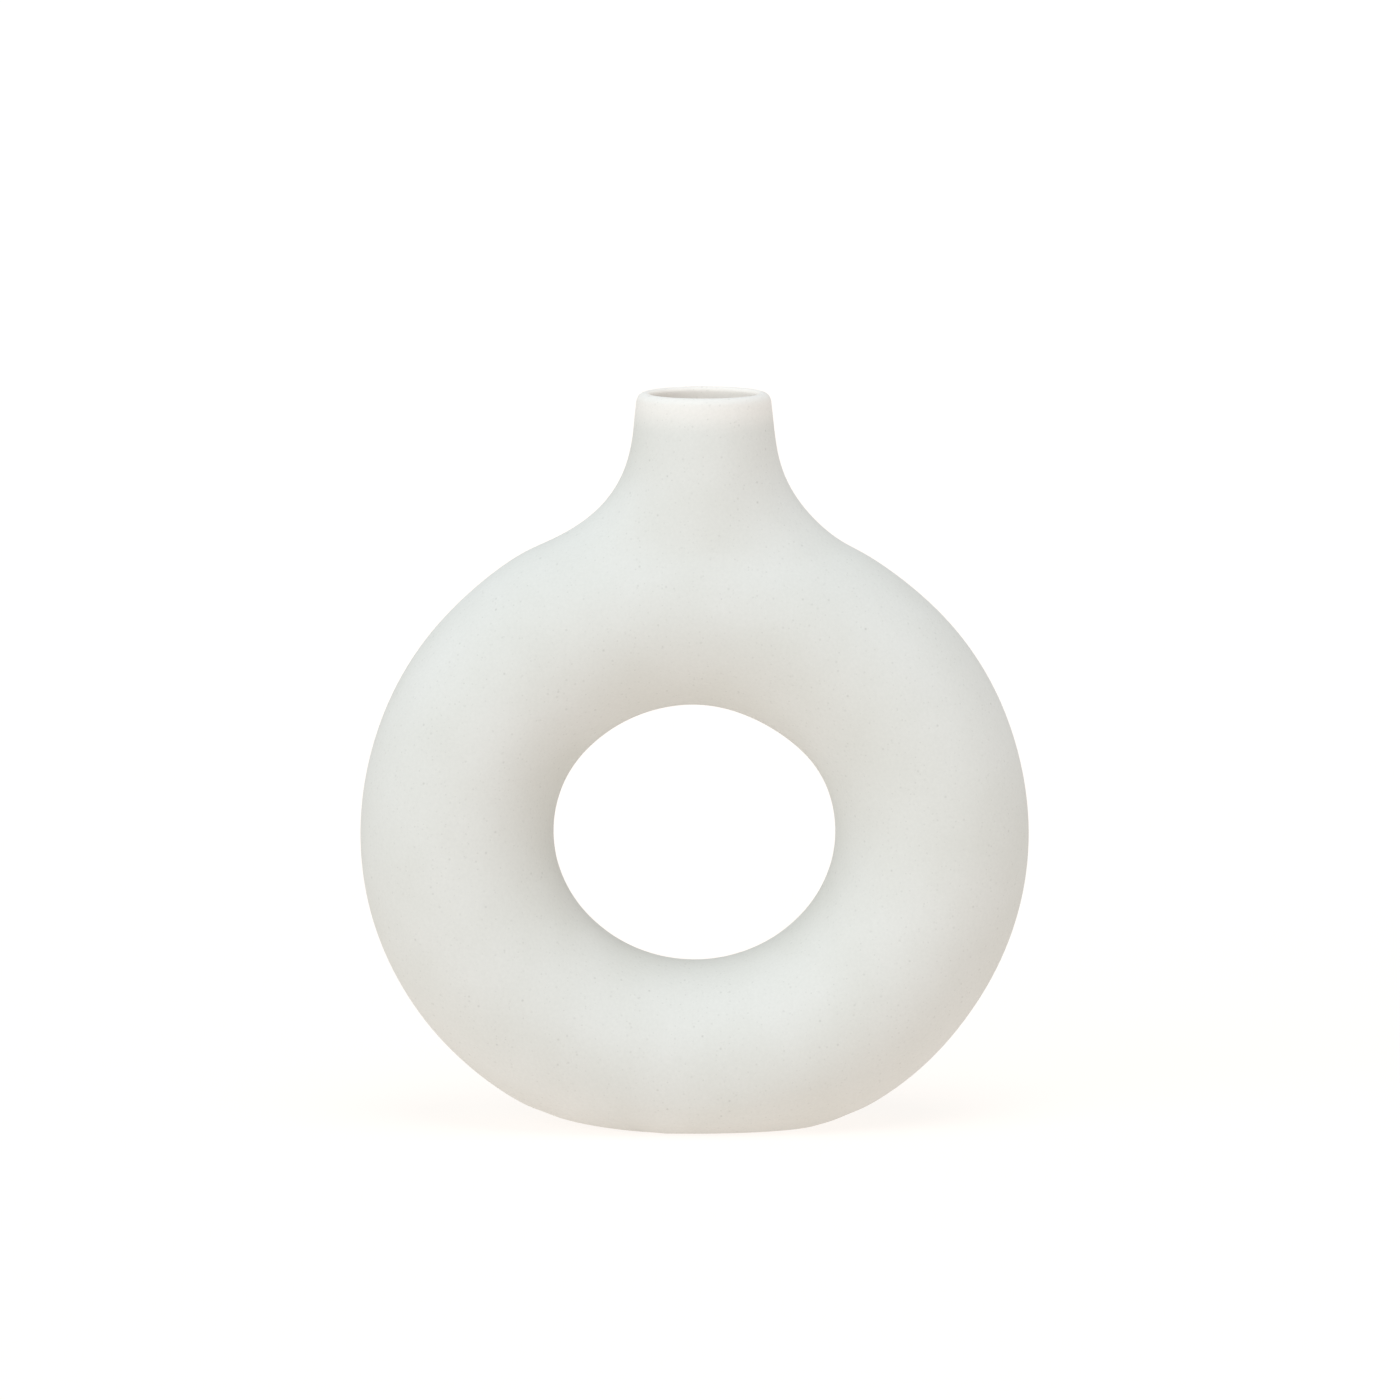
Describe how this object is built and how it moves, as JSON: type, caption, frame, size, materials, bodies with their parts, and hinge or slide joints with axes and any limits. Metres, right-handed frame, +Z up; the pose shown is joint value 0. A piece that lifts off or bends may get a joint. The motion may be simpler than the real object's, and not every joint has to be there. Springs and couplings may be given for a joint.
{
  "type": "donut vase",
  "caption": "Hollow ring-shaped stoneware flower vase with a round hole through its middle, a flared neck with a rounded rim on top and a foot cut flat to stand on.",
  "frame": {"origin": "on the table, under the middle of the ring, at the foot's flat face", "axes": "+Z up along the neck, X across the ring, Y through the hole; the front faces -Y"},
  "size_m": [0.18, 0.0522, 0.1984],
  "materials": {
    "bisque_clay": "matte unglazed off-white stoneware with fine specks",
    "slip": "matte, wiped flush with the clay",
    "clear_glaze": "clear gloss over off-white clay"
  },
  "bodies": {
    "root": {"ring_front": "bisque_clay", "ring_back": "bisque_clay", "outer_seam_left": "slip", "outer_seam_right": "slip", "hole_seam": "slip", "neck": "bisque_clay", "neck_seam": "slip", "base_plate": "bisque_clay", "base_seam": "slip", "glaze_lining": "clear_glaze"}
  },
  "joints": []
}
